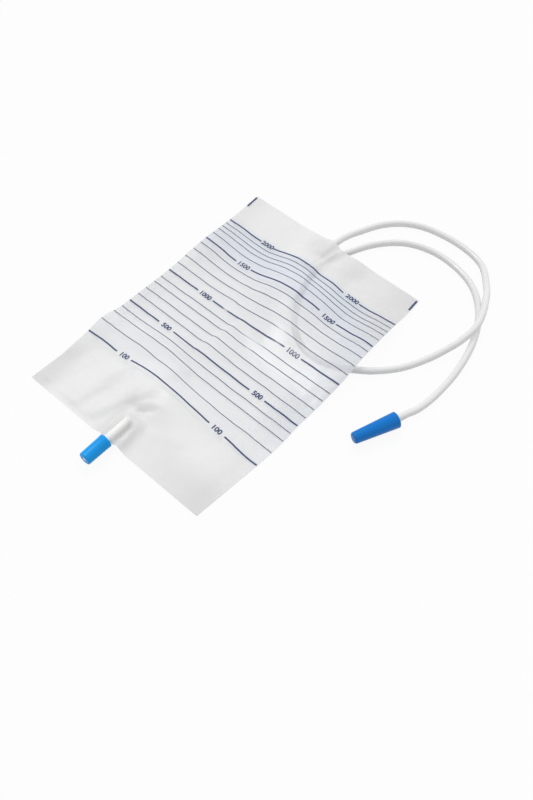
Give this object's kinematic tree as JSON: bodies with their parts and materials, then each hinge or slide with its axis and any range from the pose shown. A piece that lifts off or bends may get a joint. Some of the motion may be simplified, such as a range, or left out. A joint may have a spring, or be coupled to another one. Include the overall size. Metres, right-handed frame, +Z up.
{
  "type": "urine drainage bag",
  "caption": "Flat clear drainage bag with a measuring scale, a long looped inlet tube with a capped taper connector and a push-pull outlet sleeve at the bottom.",
  "frame": {"origin": "on the surface that the bag lies on, under the middle of the bag and its outlet, the free tube left out", "axes": "+Y from the outlet to the inlet, +Z up out of the printed front, +X to the side where the tube lies"},
  "size_m": [0.2798, 0.4063, 0.0159],
  "materials": {
    "clear_film": "hazy clear PVC film",
    "valve_film": "hazy clear PVC film",
    "tube_pvc": "clear extruded PVC",
    "white_plastic": "moulded, satin",
    "blue_plastic": "moulded, satin gloss"
  },
  "bodies": {
    "bag": {"front_film": "clear_film", "back_film": "clear_film", "non_return_valve": "valve_film", "outlet_stem": "white_plastic", "inlet_tube": "tube_pvc", "tube_connector": "white_plastic"},
    "sleeve": {"outlet_sleeve": "blue_plastic"},
    "cap": {"connector_cap": "blue_plastic"}
  },
  "joints": [
    {"name": "outlet_slide", "type": "slide", "parent": "bag", "child": "sleeve", "axis": [0, -1, 0], "range_m": [0, 0.006]},
    {"name": "cap_pull", "type": "slide", "parent": "bag", "child": "cap", "axis": [-0.36, -0.933, 0], "range_m": [0, 0.045]}
  ]
}
